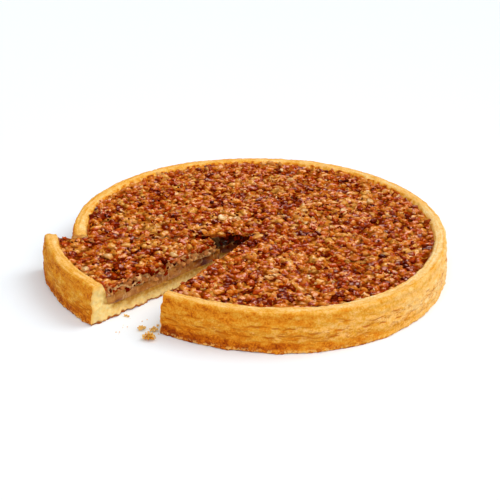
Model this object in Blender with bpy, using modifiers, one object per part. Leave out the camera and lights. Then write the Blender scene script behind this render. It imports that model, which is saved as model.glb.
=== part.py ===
"""A round walnut tart with one slice drawn part of the way out of its notch.

Metres, +Z up. The origin is the centre of the round tart, on the surface it stands on. The notch opens towards
-X and -Y. The tart and the slice are each three solids, one above the other: a shortcrust shell, the soft
walnut cream in it and the baked walnut topping.
"""

import math
import random

import bmesh
import bpy
from mathutils import Matrix, Vector, noise

MM = 0.001

# Driving dimensions.
TART_RADIUS = 135 * MM  # outside of the rim
RIM_HEIGHT = 28 * MM
BASE_THICKNESS = 10 * MM
RIM_WIDTH = 9.5 * MM  # from the outside of the rim to the filling
FOOT_SPREAD = 2.4 * MM  # how far the foot of the wall stands outside the rim
CREAM_LEVEL = 17.5 * MM
TOPPING_LEVEL = 25 * MM
LAYER_GAP = 0.3 * MM  # between solids that touch
SLIVER = 0.08 * MM  # shorter edges are closed up

# The shell left the baking ring a little out of round: (lobes, depth as a share of the radius, phase).
PLAN_LOBES = (
    (2, 0.0018, math.radians(-84)),
    (3, 0.0140, math.radians(164)),
    (4, 0.0050, math.radians(79)),
)

# The cuts run out from a tip just off the middle, to both sides of a middle line. The slice is narrower than the
# notch that it came from, and its tip is a little short.
NOTCH_TIP = Vector((-5 * MM, -12.7 * MM, 0))
NOTCH_MIDDLE = math.radians(-145.5)
NOTCH_ANGLE = math.radians(52.8)
SLICE_TIP = Vector((-8.5 * MM, -13.3 * MM, 0))
SLICE_MIDDLE = math.radians(-144.8)
SLICE_ANGLE = math.radians(44)
SLICE_PULL = Vector((-21 * MM, -11.2 * MM, 0))  # how far the slice was drawn out
SLICE_TURN = math.radians(-9.2)  # and turned about its tip
TIP_LOSS = 6 * MM  # how much of the slice's filling crumbled off its tip

RING_STEPS = 72
CUT_DEPTH = 0.35 * MM  # unevenness of a cut face
CUT_STEP = 7 * MM

# The topping is chopped walnuts all over. Most are bumps of its upper face, and the largest stand out of it whole.
BUMP_SPACING = 4.7 * MM
BUMP_HEIGHT = 0.9 * MM  # above and below the topping's level
LARGE_PIECES = 64
PIECE_LENGTH = (7 * MM, 10 * MM)
PIECE_HEIGHT = 4.2 * MM
PIECE_STANDS_OUT = 2 * MM
SEED = 12

PASTRY = (0.80, 0.47, 0.17)
CREAM = (0.42, 0.24, 0.11)
WALNUT = (0.33, 0.11, 0.03)


def clear_scene():
    for obj in list(bpy.data.objects):
        bpy.data.objects.remove(obj, do_unlink=True)


def material(name, colour, roughness):
    made = bpy.data.materials.new(name)
    made.use_nodes = True
    shader = made.node_tree.nodes["Principled BSDF"]
    shader.inputs["Base Color"].default_value = (*colour, 1)
    shader.inputs["Roughness"].default_value = roughness
    shader.inputs["Metallic"].default_value = 0
    return made


def new_object(bm, name, collection):
    """An object of the bmesh, which is freed."""
    mesh = bpy.data.meshes.new(name)
    bm.to_mesh(mesh)
    bm.free()
    obj = bpy.data.objects.new(name, mesh)
    collection.objects.link(obj)
    return obj


def cutter(bm, name, collection):
    obj = new_object(bm, name, collection)
    obj.hide_render = True
    obj.display_type = "WIRE"
    return obj


def applied(obj):
    """Makes the object's mesh what its modifiers give, and drops the modifiers."""
    graph = bpy.context.evaluated_depsgraph_get()
    graph.update()
    mesh = bpy.data.meshes.new_from_object(obj.evaluated_get(graph))
    obj.modifiers.clear()
    obj.data = mesh
    return obj


def boolean(obj, operation, other, solver="EXACT"):
    """Cuts, keeps or joins by another object, or joins every object of a collection, and applies it."""
    modifier = obj.modifiers.new(operation.title(), "BOOLEAN")
    modifier.operation = operation
    modifier.solver = solver
    if isinstance(other, bpy.types.Collection):
        modifier.operand_type = "COLLECTION"
        modifier.collection = other
    else:
        modifier.object = other
    return applied(obj)


def plan_scale(angle):
    """The tart's radius at this angle, as a share of a true circle's."""
    return 1 + sum(depth * math.cos(lobes * angle - phase) for lobes, depth, phase in PLAN_LOBES)


def crust_profile():
    """The shell's outline from the middle of its floor, over the rim and down the outside to the underside."""
    rim, foot, top, floor = TART_RADIUS, TART_RADIUS + FOOT_SPREAD, RIM_HEIGHT, BASE_THICKNESS
    inside = rim - RIM_WIDTH
    fillet = [
        (inside - 1.2 * MM - 7.5 * MM * (1 - math.cos(a)), floor + 6.5 * MM * (1 - math.sin(a)))
        for a in (math.pi / 2, math.pi / 3, math.pi / 6)
    ]
    inner = [(0, floor), (rim * 0.45, floor), *fillet]
    crown = [
        (inside - 0.6 * MM, top - 7.5 * MM),
        (inside, top - 3.5 * MM),
        (inside + 1.4 * MM, top - 1.5 * MM),
        (inside + 3.8 * MM, top - 0.2 * MM),
        (rim - 2.2 * MM, top),
        (rim - 0.6 * MM, top - 0.5 * MM),
    ]
    outside = [
        (rim, top - 1.6 * MM),
        (rim + 0.3 * MM, top - 3.4 * MM),
        (rim + 0.2 * MM, top - 5.4 * MM),
        (rim + 1.1 * MM, top - 8.5 * MM),
        (rim + 1.7 * MM, 15.5 * MM),
        (rim + 1.5 * MM, 12 * MM),
        (rim + 2.1 * MM, 8.5 * MM),
        (rim + 1.8 * MM, 5 * MM),
        (foot, 2.4 * MM),
        (foot - 0.2 * MM, 0.7 * MM),
        (foot - 1.1 * MM, 0),
    ]
    return [*inner, *crown, *outside, (0, 0)]


def inside_radius(height):
    """The radius of the shell's inner wall at this height."""
    wall = [point for point in crust_profile() if point[0] <= TART_RADIUS - RIM_WIDTH + 4 * MM]
    wall = [point for point in wall if point[1] >= BASE_THICKNESS]
    for (inner, low), (outer, high) in zip(wall, wall[1:]):
        if low <= height <= high and high > low:
            return inner + (outer - inner) * (height - low) / (high - low)
    return wall[-1][0]


def cream_profile():
    """The cream fills the shell from just over its floor to its own level."""
    floor = BASE_THICKNESS + LAYER_GAP
    fillet = [
        (radius - LAYER_GAP, height + LAYER_GAP)
        for radius, height in reversed(crust_profile()[1:5])
        if height < CREAM_LEVEL - 1 * MM
    ]
    top = [(0, CREAM_LEVEL), (TART_RADIUS * 0.5, CREAM_LEVEL)]
    top.append((inside_radius(CREAM_LEVEL) - 2 * LAYER_GAP, CREAM_LEVEL))
    return [*top, *fillet, (0, floor)]


def topping_profile():
    """The topping from the cream up to where walnut_lid takes its upper face off."""
    floor = CREAM_LEVEL + LAYER_GAP
    brim = TOPPING_LEVEL + 2 * BUMP_HEIGHT
    edge = inside_radius(TOPPING_LEVEL) - 2.5 * LAYER_GAP
    foot = inside_radius(floor) - 2.5 * LAYER_GAP
    return [(0, brim), (edge, brim), (edge, TOPPING_LEVEL - 1.2 * MM), (foot, floor), (0, floor)]


def turned(name, profile, collection, steps=RING_STEPS):
    """A solid turned from its outline, which runs from the axis at the top, outwards and down to the axis."""
    bm = bmesh.new()
    points = [bm.verts.new((radius, 0, height)) for radius, height in profile]
    for a, b in zip(points, points[1:]):
        bm.edges.new((a, b))
    obj = new_object(bm, name, collection)
    screw = obj.modifiers.new("Screw", "SCREW")
    screw.angle = 2 * math.pi
    screw.steps = steps
    screw.render_steps = steps
    screw.use_merge_vertices = True
    screw.merge_threshold = 0.00005
    return applied(obj)


def crag(point):
    """How far the wall's surface stands out or in here: long shallow ledges, as pastry that rose in layers."""
    along = math.atan2(point.y, point.x) * TART_RADIUS
    ledges = noise.noise(Vector((along / (16 * MM), point.z / (3.2 * MM), 4.1)))
    lumps = noise.noise(Vector((along / (30 * MM), point.z / (9 * MM), 9.7)))
    return 0.75 * MM * ledges + 0.5 * MM * lumps


def shape_crust(mesh):
    """Puts the turned shell out of round, gives its wall ledges and its rim a slight wave."""
    for vertex in mesh.vertices:
        point = vertex.co
        radius = math.hypot(point.x, point.y)
        if radius > TART_RADIUS - 1 * MM and point.z > 0.1 * MM:
            rim_fade = min(1, (RIM_HEIGHT + 1 * MM - point.z) / (6 * MM))
            grown = (radius + crag(point) * rim_fade) / radius
            point.x *= grown
            point.y *= grown
        if point.z > TOPPING_LEVEL:
            wave = noise.noise(Vector((point.x / (42 * MM), point.y / (42 * MM), 1.3)))
            point.z += 0.8 * MM * wave * (point.z - TOPPING_LEVEL) / (RIM_HEIGHT - TOPPING_LEVEL)
    shape_plan(mesh)


def shape_plan(mesh):
    for vertex in mesh.vertices:
        scale = plan_scale(math.atan2(vertex.co.y, vertex.co.x))
        vertex.co.x *= scale
        vertex.co.y *= scale


def walnut_lid(collection):
    """A slab that, cut off the topping, leaves bumps the size of chopped walnuts on it."""
    draw = random.Random(SEED)
    steps = 2 * round(1.05 * TART_RADIUS / BUMP_SPACING)
    bm = bmesh.new()
    bmesh.ops.create_grid(bm, x_segments=steps, y_segments=steps, size=steps * BUMP_SPACING / 2)
    for vertex in bm.verts:
        row = round((vertex.co.y + steps * BUMP_SPACING / 2) / BUMP_SPACING)
        vertex.co.x += BUMP_SPACING / 2 * (row % 2) + BUMP_SPACING * draw.uniform(-0.2, 0.2)
        vertex.co.y += BUMP_SPACING * draw.uniform(-0.2, 0.2)
        vertex.co.z = TOPPING_LEVEL + BUMP_HEIGHT * draw.choice((-1, 1)) * draw.uniform(0.3, 1)
    bmesh.ops.triangulate(bm, faces=bm.faces[:])
    raised = bmesh.ops.extrude_face_region(bm, geom=bm.faces[:])
    for vertex in raised["geom"]:
        if isinstance(vertex, bmesh.types.BMVert):
            vertex.co.z = TOPPING_LEVEL + 10 * MM
    bmesh.ops.recalc_face_normals(bm, faces=bm.faces)
    return cutter(bm, "walnut_lid", collection)


def cut_face(bm, start, direction, sideways, length, height):
    """A standing grid of points along a cut, uneven as a knife leaves crumbly pastry and nuts."""
    columns = round(length / CUT_STEP)
    rows = 5
    grid = []
    for column in range(columns + 1):
        along = start + direction * (length * column / columns)
        line = []
        for row in range(rows + 1):
            z = -3 * MM + height * row / rows
            uneven = CUT_DEPTH * noise.noise(Vector((column * 0.9, row * 1.3, sideways.x * 7)))
            swing = 0 if column == 0 else uneven * 2
            line.append(bm.verts.new(along + sideways * swing + Vector((0, 0, z))))
        grid.append(line)
    return grid


def wedge(name, tip, middle, angle, tip_loss, collection):
    """A standing wedge from its tip, less tip_loss, long enough to cut right through the tart."""
    length = TART_RADIUS * 1.35
    height = RIM_HEIGHT + 12 * MM
    bm = bmesh.new()
    grids = []
    for side in (-1, 1):
        turn = middle + side * angle / 2
        direction = Vector((math.cos(turn), math.sin(turn), 0))
        sideways = Vector((-math.sin(turn), math.cos(turn), 0))
        start = tip + direction * tip_loss
        grids.append(cut_face(bm, start, direction, sideways, length, height))
    for grid in grids:
        for left, right in zip(grid, grid[1:]):
            for n in range(len(left) - 1):
                bm.faces.new((left[n], right[n], right[n + 1], left[n + 1]))
    for column in (0, -1) if tip_loss else (-1,):
        near, far = grids[0][column], grids[1][column]
        for n in range(len(near) - 1):
            bm.faces.new((near[n], far[n], far[n + 1], near[n + 1]))
    for end in (0, -1):
        outline = [column[end] for column in grids[0]] + [column[end] for column in reversed(grids[1])]
        bm.faces.new(outline)
    bmesh.ops.remove_doubles(bm, verts=bm.verts, dist=0.00001)
    bmesh.ops.recalc_face_normals(bm, faces=bm.faces)
    return cutter(bm, name, collection)


def slice_place():
    """Where the slice lies: turned about its tip, then drawn out of the notch."""
    turn = Matrix.Rotation(SLICE_TURN, 4, "Z")
    return Matrix.Translation(SLICE_PULL + SLICE_TIP) @ turn @ Matrix.Translation(-SLICE_TIP)


def in_sector(point, tip, middle, angle, margin):
    """Whether the point lies in the sector between two cuts, and further than margin from both."""
    out = point - tip
    turn = (math.atan2(out.y, out.x) - middle + math.pi) % (2 * math.pi) - math.pi
    inset = math.hypot(out.x, out.y) * math.sin(min(math.pi / 2, max(-math.pi / 2, angle / 2 - abs(turn))))
    return inset > margin


def off_notch(point, half_length):
    """Whether a walnut piece here is clear of the notch, or nearly."""
    return not in_sector(point, NOTCH_TIP, NOTCH_MIDDLE, NOTCH_ANGLE, -half_length * 0.7)


def on_slice(point, half_length):
    """Whether a walnut piece here lies on the slice."""
    tip = SLICE_TIP + Vector((math.cos(SLICE_MIDDLE), math.sin(SLICE_MIDDLE), 0)) * TIP_LOSS
    return in_sector(point, tip, SLICE_MIDDLE, SLICE_ANGLE, half_length * 0.7)


def walnut_piece(name, length, draw, collection):
    """One chopped walnut: a knobbly chip, longer than wide, lying on its side at a slight tilt."""
    bm = bmesh.new()
    bmesh.ops.create_icosphere(bm, subdivisions=1, radius=0.5)
    size = Vector((length, length * draw.uniform(0.6, 0.85), PIECE_HEIGHT))
    for vertex in bm.verts:
        knob = draw.uniform(0.82, 1.12)
        vertex.co = Vector(a * b * knob for a, b in zip(vertex.co, size))
    tilt = Matrix.Rotation(draw.uniform(-0.3, 0.3), 4, "X")
    spin = Matrix.Rotation(draw.uniform(0, 2 * math.pi), 4, "Z")
    bmesh.ops.transform(bm, matrix=spin @ tilt, verts=bm.verts)
    return new_object(bm, name, collection)


def scatter(keep, draw, collection):
    """Walnut pieces spread evenly over the tart, the largest first, wherever keep(point, half_length) allows one."""
    golden = math.pi * (3 - math.sqrt(5))
    edge = inside_radius(TOPPING_LEVEL)
    longest, shortest = PIECE_LENGTH[1], PIECE_LENGTH[0]
    order = list(range(LARGE_PIECES))
    draw.shuffle(order)
    for rank, n in enumerate(order):
        length = longest - (longest - shortest) * rank / LARGE_PIECES
        turn = n * golden + draw.uniform(-0.02, 0.02)
        radius = (edge - length * 0.62) * math.sqrt((n + 0.5) / LARGE_PIECES) * plan_scale(turn)
        point = Vector((radius * math.cos(turn), radius * math.sin(turn), 0))
        if not keep(point, length / 2):
            continue
        piece = walnut_piece(f"piece_{n}", length, draw, collection)
        stands = PIECE_STANDS_OUT * draw.uniform(0.6, 1.1)
        piece.location = point + Vector((0, 0, TOPPING_LEVEL + stands - PIECE_HEIGHT / 2))


def fuse_pieces(obj, keep, seed):
    """Joins scattered walnut pieces to the topping's core."""
    draw = random.Random(seed)
    pieces = bpy.data.collections.new("pieces")
    bpy.context.scene.collection.children.link(pieces)
    scatter(keep, draw, pieces)
    bpy.context.view_layer.update()
    boolean(obj, "UNION", pieces, "MANIFOLD")
    for piece in list(pieces.objects):
        bpy.data.objects.remove(piece, do_unlink=True)
    bpy.data.collections.remove(pieces)


def finish(obj, made_of):
    """Drops the slivers that the cuts left, and gives the solid its material."""
    bm = bmesh.new()
    bm.from_mesh(obj.data)
    bmesh.ops.dissolve_degenerate(bm, dist=SLIVER, edges=bm.edges)
    bm.to_mesh(obj.data)
    bm.free()
    obj.data.materials.clear()
    obj.data.materials.append(made_of)
    obj.data.shade_smooth()
    obj.data.set_sharp_from_angle(angle=math.radians(40))


def main():
    clear_scene()
    tart = bpy.data.collections.new("walnut_tart")
    cutters = bpy.data.collections.new("cutters")
    for collection in (tart, cutters):
        bpy.context.scene.collection.children.link(collection)
    notch = wedge("notch_cutter", NOTCH_TIP, NOTCH_MIDDLE, NOTCH_ANGLE, 0, cutters)
    portion = wedge("slice_cutter", SLICE_TIP, SLICE_MIDDLE, SLICE_ANGLE, 0, cutters)
    filling = wedge("slice_filling_cutter", SLICE_TIP, SLICE_MIDDLE, SLICE_ANGLE, TIP_LOSS, cutters)
    lid = walnut_lid(cutters)
    layers = (
        ("crust", crust_profile(), shape_crust, material("pastry", PASTRY, 0.75), RING_STEPS),
        ("cream", cream_profile(), shape_plan, material("walnut_cream", CREAM, 0.5), RING_STEPS // 2),
        ("topping", topping_profile(), shape_plan, material("walnut_topping", WALNUT, 0.3), RING_STEPS // 2),
    )
    for layer, profile, shape, made_of, steps in layers:
        kept = portion if layer == "crust" else filling
        for whole, cut, operation in (("tart", notch, "DIFFERENCE"), ("slice", kept, "INTERSECT")):
            obj = turned(f"{whole}_{layer}", profile, tart, steps)
            shape(obj.data)
            if layer == "topping":
                boolean(obj, "DIFFERENCE", lid)
            boolean(obj, operation, cut)
            if layer == "topping":
                fuse_pieces(obj, off_notch if whole == "tart" else on_slice, SEED)
            if whole == "slice":
                obj.data.transform(slice_place())
            finish(obj, made_of)


main()
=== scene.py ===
"""Looks of a round walnut tart with one slice drawn part of the way out of its notch.

Metres, +Z up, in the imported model's frame. Each solid gives way to dense meshes of the same form: two pastry
shells, two layers of cream, and two toppings of caramel with chopped walnuts in it. Crumbs lie by the notch.
The first group of sizes repeats the model's own, because what replaces a solid keeps its form.
"""

import itertools
import math

import bmesh
import bpy
import numpy as np
from mathutils import Matrix, Vector, kdtree, noise
from mathutils.geometry import delaunay_2d_cdt


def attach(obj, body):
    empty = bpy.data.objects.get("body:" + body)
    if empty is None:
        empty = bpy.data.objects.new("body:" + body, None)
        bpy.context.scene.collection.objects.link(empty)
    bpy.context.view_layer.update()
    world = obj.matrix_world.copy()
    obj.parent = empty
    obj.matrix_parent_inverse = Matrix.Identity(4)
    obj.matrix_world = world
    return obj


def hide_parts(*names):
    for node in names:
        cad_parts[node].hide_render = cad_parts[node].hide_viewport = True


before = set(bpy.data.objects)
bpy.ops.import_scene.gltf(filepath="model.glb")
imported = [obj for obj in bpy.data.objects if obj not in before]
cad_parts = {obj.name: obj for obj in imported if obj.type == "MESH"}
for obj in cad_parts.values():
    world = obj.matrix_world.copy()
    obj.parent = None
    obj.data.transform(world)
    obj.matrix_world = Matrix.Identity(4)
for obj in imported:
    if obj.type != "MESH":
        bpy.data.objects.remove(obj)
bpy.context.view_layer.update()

MM = 0.001

# The model's sizes.
TART_RADIUS = 135 * MM  # outside of the rim
RIM_HEIGHT = 28 * MM
BASE_THICKNESS = 10 * MM
RIM_WIDTH = 9.5 * MM
FOOT_SPREAD = 2.4 * MM
CREAM_LEVEL = 17.5 * MM
TOPPING_LEVEL = 25 * MM
# How many lobes put the plan out of round, how deep as shares of the radius, and where one of them points.
PLAN_LOBES = ((2, 0.0018, math.radians(-84)), (3, 0.0140, math.radians(164)), (4, 0.0050, math.radians(79)))
NOTCH_TIP = (-5 * MM, -12.7 * MM)
NOTCH_MIDDLE = math.radians(-145.5)
NOTCH_ANGLE = math.radians(52.8)
SLICE_TIP = (-8.5 * MM, -13.3 * MM)
SLICE_MIDDLE = math.radians(-144.8)
SLICE_ANGLE = math.radians(44)
SLICE_PULL = Vector((-21 * MM, -11.2 * MM, 0))
SLICE_TURN = math.radians(-9.2)
TIP_LOSS = 6 * MM  # filling that crumbled off the slice's tip

# How finely the surfaces are divided.
WALL_STEP = 0.5 * MM  # up the wall, and along the cuts
SURFACE_STEP = 0.85 * MM
HIDDEN_STEP = 3 * MM
TART_RAYS, SLICE_RAYS = 840, 190  # round a shell
TART_ARC, SLICE_ARC = 700, 130  # round a filling

CRACKS_PER_RADIAN = 30  # in the wall
# On the tart, the darker length is painted shade in the notch.
TART_NOTCH_SHADE, SLICE_DARKENED = 48 * MM, 22 * MM  # length of the filling's cuts that is darker, from the tip

# The walnuts.
PIECE_SPACING = 4.9 * MM
PIECE_LENGTHS = (4 * MM, 6 * MM, 9 * MM)  # least, commonest and greatest
PIECE_FIELDS = ("x", "y", "length", "width", "height", "spin", "stands", "kind")
BARE_SHARE = 0.5  # of the pieces that stand out of the caramel; it coats the rest
FINE_LENGTH = 6.2 * MM  # from which a piece is divided more finely
CARAMEL_DROP = -1.2 * MM  # of the caramel between pieces below the topping's level
PLANES = 9  # that a piece is chopped by
EDGE_SHARPNESS = 22
CUT_PIECE_SPACING = 0.7 * MM  # along a cut face
KINDS = (
    # name, share of the pieces, colour where sunk in caramel and in painted shade, on top and on bare edges
    ("dark", 0.2, (56, 5, 0), (112, 23, 0), (172, 72, 14)),
    ("brown", 0.34, (108, 15, 0), (180, 65, 6), (206, 120, 42)),
    ("amber", 0.35, (140, 33, 0), (208, 114, 24), (216, 152, 74)),
    ("pale", 0.11, (150, 46, 2), (208, 142, 68), (222, 182, 128)),
    ("flesh", 0, (182, 110, 56), (216, 156, 88), (244, 208, 150)),
)
KIND_NAMES = [kind[0] for kind in KINDS]
KIND_SHARES = np.cumsum([kind[1] for kind in KINDS])
KIND_TONES = (0, 0.35, 0.7, 1, 0.8)  # of the caramel over them

# Crumbs: x, y, length and height.
CRUMBS = (
    (-88.8 * MM, -97.6 * MM, 2.6 * MM, 2 * MM),
    (-86.6 * MM, -98.4 * MM, 2.2 * MM, 1.8 * MM),
    (-76.5 * MM, -114.4 * MM, 5.6 * MM, 3.6 * MM),
    (-67.8 * MM, -116 * MM, 5.6 * MM, 3.8 * MM),
    (-69.7 * MM, -126.6 * MM, 8.6 * MM, 6 * MM),
    (-66.1 * MM, -109.6 * MM, 2.6 * MM, 2.2 * MM),
    (-64.5 * MM, -119.7 * MM, 1.6 * MM, 1.2 * MM),
)
SPECK_COUNT = 14

# The studio's colours, and the glaze on caramel and walnuts.
FLOOR_WHITE = (0.893, 0.932, 0.965, 1)
ROOM_WHITE = (0.94, 0.97, 1, 1)
WARM_GLOSS = (1, 0.91, 0.8)  # of the softboxes that only the gloss shows
GLAZED = {"Roughness": 0.5, "Specular_IOR_Level": 0.0, "Coat_Roughness": 0.17, "Coat_IOR": 1.38}

CAMERA_PLACE = Vector((0, -719 * MM, 350.6 * MM))
CAMERA_AIM = Vector((-9 * MM, 11.4 * MM, 0))
CAMERA_ROLL = math.radians(1.85)
CAMERA_LENS = 77.5


# ---------------------------------------------------------------- numbers and noise


def ease(value):
    """From 0 to 1 without a kink, as value goes from 0 to 1."""
    t = np.clip(value, 0, 1)
    return t * t * (3 - 2 * t)


def ease_over(value, start, length):
    """ease as value goes from start over this length, which is below 0 where value falls."""
    return ease((value - start) / length)


def bell(value, middle, width):
    """1 at the middle, and nearly 0 from twice the width on."""
    return np.exp(-(((value - middle) / width) ** 2))


def hashed(cells):
    """A fixed random number from 0 to 1 for each cell of three whole numbers."""
    mask = np.uint64(0xFFFFFFFF)
    x, y, z = (cells[..., n].astype(np.uint64) & mask for n in range(3))
    mixed = (x * np.uint64(0x8DA6B343) + y * np.uint64(0xD8163841) + z * np.uint64(0xCB1AB31F)) & mask
    mixed ^= mixed >> np.uint64(13)
    mixed = (mixed * np.uint64(0x85EBCA6B)) & mask
    mixed ^= mixed >> np.uint64(16)
    mixed = (mixed * np.uint64(0xC2B2AE35)) & mask
    mixed ^= mixed >> np.uint64(15)
    return mixed.astype(float) / float(mask)


def fuzz(points, size, seed=0):
    """Smooth noise, mostly from -1 to 1. Size is its lumps', in millimetres: one, or one for each axis."""
    place = np.asarray(points) / np.multiply(size, MM) + 31.7 * seed
    cell = np.floor(place).astype(np.int64)
    share = ease(place - cell)
    total = np.zeros(len(place))
    for corner in itertools.product((0, 1), repeat=3):
        total += np.prod(np.where(corner, share, 1 - share), axis=1) * hashed(cell + np.array(corner))
    return 3 * total - 1.5


def bumps(points, *kinds):
    """The sum of kinds of fuzz, each with its height in millimetres, its size and its seed."""
    return MM * sum(height * fuzz(points, size, seed) for height, size, seed in kinds)


def plan_scale(turn):
    """The tart's radius at this angle, as a share of a true circle's."""
    return 1 + sum(depth * np.cos(lobes * turn - phase) for lobes, depth, phase in PLAN_LOBES)


# ---------------------------------------------------------------- the tart's plan and profile


class Sector:
    """A sector of the tart, counter-clockwise from one cut to the other. Both cuts run out from its tip.

    The filling is darker within a length of the tip: on the tart, painted shade in its notch. Loss is the
    length of filling that the tip has lost.
    """

    def __init__(self, tip, start, end, darkened, loss=0, place=None):
        self.tip = np.array(tip)
        self.darkened = darkened
        self.start = start
        self.end = end
        self.loss = loss
        self.place = place

    def directions(self, count):
        turns = np.linspace(self.start, self.end, count + 1)
        return np.stack([np.cos(turns), np.sin(turns)], axis=-1)

    def reach(self, direction, radius):
        """How far from the tip a ray meets the tart's plan at this radius."""
        along = direction @ self.tip
        limit = radius
        for _ in range(8):
            out = np.sqrt(along**2 - self.tip @ self.tip + limit**2) - along
            point = self.tip + direction * out[..., None]
            limit = radius * plan_scale(np.arctan2(point[..., 1], point[..., 0]))
        return out

    def outline(self, radius, cut_count, arc_count):
        """Round the sector out to this radius: the first cut outwards, the arc and the second cut inwards."""
        loss = self.loss
        rays = self.directions(arc_count)
        reach = self.reach(rays, np.full(arc_count + 1, radius))
        arc = self.tip + rays * reach[:, None]
        share = np.linspace(0, 1, cut_count, endpoint=False)[:, None]
        first = self.tip + rays[0] * (loss + (reach[0] - loss) * share)
        second = self.tip + rays[-1] * (loss + (reach[-1] - loss) * share)
        if not loss:
            return np.concatenate([first, arc, second[:0:-1]])
        across = np.linspace(0, 1, 7)[1:-1, None]
        broken_tip = second[0] + (first[0] - second[0]) * across
        return np.concatenate([first, arc, second[::-1], broken_tip])

    def inset(self, points):
        """How far inside the sector's cuts each point is, and below 0 outside."""
        away = points[:, :2] - self.tip
        nearest = np.full(len(points), np.inf)
        for direction in self.directions(1):
            along = away @ direction
            across = np.abs(away[:, 0] * direction[1] - away[:, 1] * direction[0])
            nearest = np.minimum(nearest, np.where(along > 0, across, np.hypot(*away.T)))
        turn = (np.arctan2(away[:, 1], away[:, 0]) - self.start) % (2 * math.pi)
        return np.where(turn < self.end - self.start, nearest, -nearest)

    def outward(self, points):
        """The level way out of the nearest cut at each point."""
        away = points[:, :2] - self.tip
        nearest = np.full(len(points), np.inf)
        out = np.zeros((len(points), 3))
        for direction, side in zip(self.directions(1), (1, -1)):
            across = np.where(away @ direction > 0, np.abs(away @ (direction[1], -direction[0])), np.inf)
            closer = across < nearest
            out[closer] = (side * direction[1], -side * direction[0], 0)
            nearest = np.minimum(nearest, across)
        return out

    def unrolled(self, points):
        """Length round the tart, radius before the plan put it out of round, and height."""
        turn = np.arctan2(points[:, 1], points[:, 0])
        turn = self.start + (turn - self.start + 0.2) % (2 * math.pi) - 0.2
        radius = np.hypot(points[:, 0], points[:, 1]) / plan_scale(turn)
        return np.stack([turn * TART_RADIUS, radius, points[:, 2]], axis=1)


def inner_profile():
    """The shell's inner wall, from the floor up to where the crown begins: radius and height."""
    inside = TART_RADIUS - RIM_WIDTH
    turns = np.radians([90, 75, 60, 45, 30])
    fillet = [
        (inside - 1.2 * MM - 7.5 * MM * (1 - math.cos(a)), BASE_THICKNESS + 6.5 * MM * (1 - math.sin(a)))
        for a in turns
    ]
    return [*fillet, (inside - 0.6 * MM, RIM_HEIGHT - 7.5 * MM)]


def outer_profile():
    """The shell's crown and its outside down to the underside: radius and height."""
    rim, foot, top = TART_RADIUS, TART_RADIUS + FOOT_SPREAD, RIM_HEIGHT
    inside = rim - RIM_WIDTH
    crown = [
        (inside, top - 3.5 * MM),
        (inside + 1.4 * MM, top - 1.5 * MM),
        (inside + 3.8 * MM, top - 0.2 * MM),
        (rim - 2.2 * MM, top),
        (rim - 0.6 * MM, top - 0.5 * MM),
    ]
    outside = [
        (rim, top - 1.6 * MM),
        (rim + 0.3 * MM, top - 3.4 * MM),
        (rim + 0.2 * MM, top - 5.4 * MM),
        (rim + 1.1 * MM, top - 8.5 * MM),
        (rim + 1.7 * MM, 15.5 * MM),
        (rim + 1.5 * MM, 12 * MM),
        (rim + 2.1 * MM, 8.5 * MM),
        (rim + 1.8 * MM, 5 * MM),
        (foot, 2.4 * MM),
        (foot - 0.2 * MM, 0.7 * MM),
        (foot - 1.1 * MM, 0),
    ]
    return [*crown, *outside]


def inside_radius(height):
    """The radius of the shell's inner wall at this height."""
    wall = np.array([*inner_profile(), *outer_profile()[:3]])
    return np.interp(height, wall[:, 1], wall[:, 0])


def spaced(points, step):
    """Points every step or so along a line through these."""
    points = np.asarray(points)
    length = np.concatenate([[0], np.cumsum(np.linalg.norm(np.diff(points, axis=0), axis=1))])
    places = np.linspace(0, length[-1], max(2, round(length[-1] / step) + 1))
    return np.stack([np.interp(places, length, column) for column in points.T], axis=1)


def rounded(points):
    """The line with its corners cut twice."""
    points = np.asarray(points)
    for _ in range(2):
        near = points[:-1] * 0.75 + points[1:] * 0.25
        far = points[:-1] * 0.25 + points[1:] * 0.75
        between = np.stack([near, far], axis=1).reshape(-1, 2)
        points = np.concatenate([points[:1], between, points[-1:]])
    return points


def wall_profile():
    """The wall's outline from the floor, over the rim and down to the underside, fine where it shows."""
    inner = spaced(inner_profile(), 1.8 * MM)
    shown = spaced(rounded([inner[-1], *outer_profile()]), WALL_STEP)
    foot = shown[-1]
    under = np.array([(foot[0] - inward, 0) for inward in (1.5 * MM, 3.5 * MM)])
    return np.concatenate([inner[:-1], shown, under])


# ---------------------------------------------------------------- meshes from points and triangles


def at_height(flat, height):
    """Points of a plan at this height."""
    return np.column_stack([flat, np.full(len(flat), height)])


def grid_faces(rows, columns, start=0, closed=False):
    """Triangles of a grid of points numbered row by row. A closed one joins its last column to the first."""
    row = np.arange(rows - 1)[:, None]
    column = np.arange(columns if closed else columns - 1)[None]
    following = (column + 1) % columns
    a, b = row * columns + column, row * columns + following
    c, d = a + columns, b + columns
    pairs = np.stack([np.stack([a, c, d], -1), np.stack([a, d, b], -1)], axis=2)
    return start + pairs.reshape(-1, 3)


def lattice(loop, step):
    """Points of a triangular lattice over a loop's box, but not close to the loop itself."""
    low, high = loop.min(axis=0), loop.max(axis=0)
    rows = np.arange(low[1], high[1], step * math.sqrt(0.75))
    columns = np.arange(low[0], high[0], step)
    x = columns[None] + step / 2 * (np.arange(len(rows)) % 2)[:, None]
    points = np.stack([x, np.broadcast_to(rows[:, None], x.shape)], axis=-1).reshape(-1, 2)
    near = kdtree.KDTree(len(loop))
    for index, point in enumerate(loop):
        near.insert((*point, 0), index)
    near.balance()
    clear = [near.find((x, y, 0))[2] > 0.6 * step for x, y in points]
    return points[np.array(clear)]


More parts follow.
